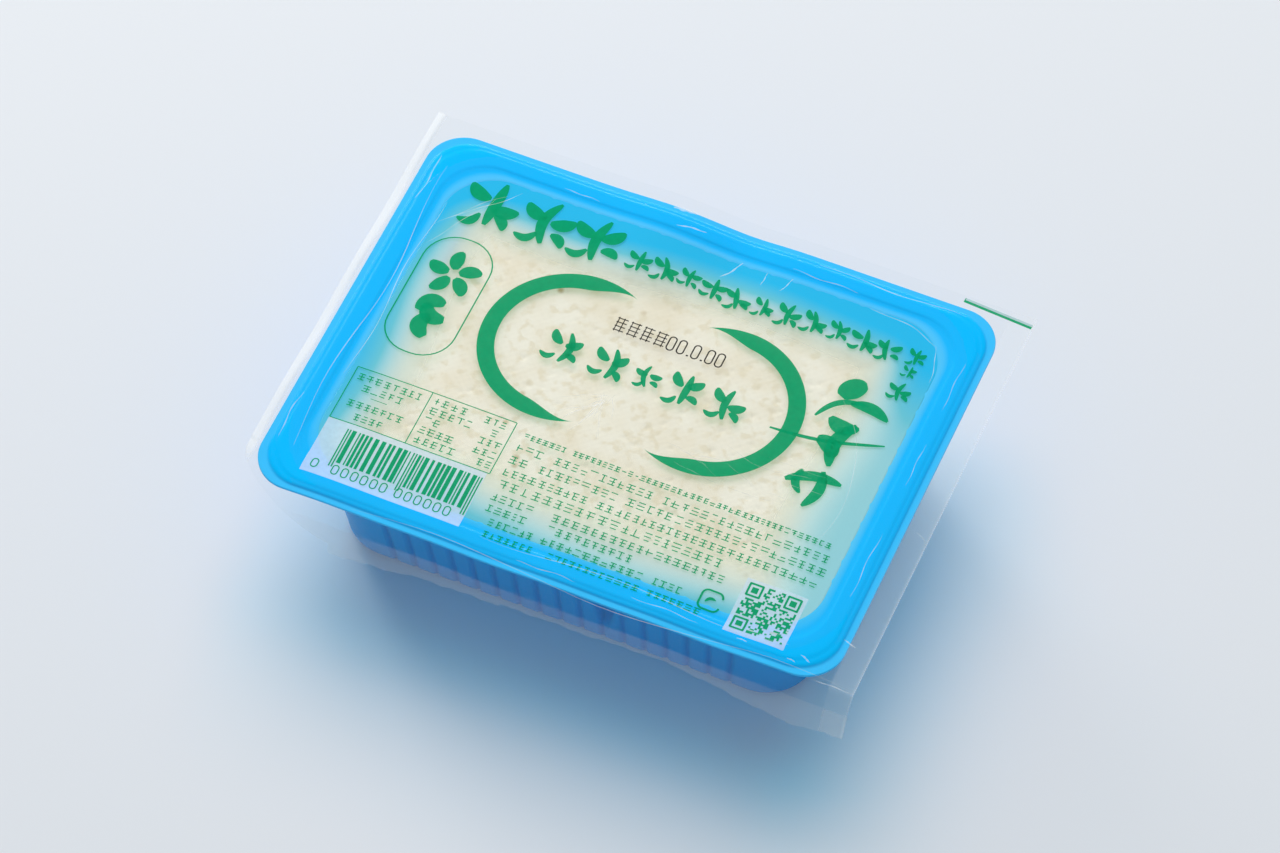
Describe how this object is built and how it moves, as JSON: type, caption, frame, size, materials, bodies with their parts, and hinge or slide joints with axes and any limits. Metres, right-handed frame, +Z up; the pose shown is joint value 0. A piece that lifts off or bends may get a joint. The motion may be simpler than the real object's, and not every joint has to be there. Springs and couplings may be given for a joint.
{
  "type": "sealed tofu pack",
  "caption": "Firm tofu block in milky packing water, sealed under clear printed film in a thin fluted blue tray with a wide flange.",
  "frame": {"origin": "centre of the tray's flat base, on the surface it stands on", "axes": "+X along the tray's long side, +Z up; -Y is the front, the side the film folds down over"},
  "size_m": [0.1484, 0.1152, 0.0407],
  "materials": {
    "tray": "thin blue translucent polypropylene, glossy, thermoformed",
    "film": "clear glossy lidding film, finely creased, sealed to the flange",
    "water": "cloudy packing water, milkier towards the block",
    "tofu": "moist firm soybean curd, cream, with a faint cloth imprint, pits and beige specks",
    "green_ink": "flat green print on the film",
    "white_ink": "flat white print on the film",
    "black_ink": "thin black stamp on the film"
  },
  "bodies": {
    "root": {"tray": "tray", "tofu_block": "tofu", "packing_water": "water", "lid_film": "film"}
  },
  "joints": []
}
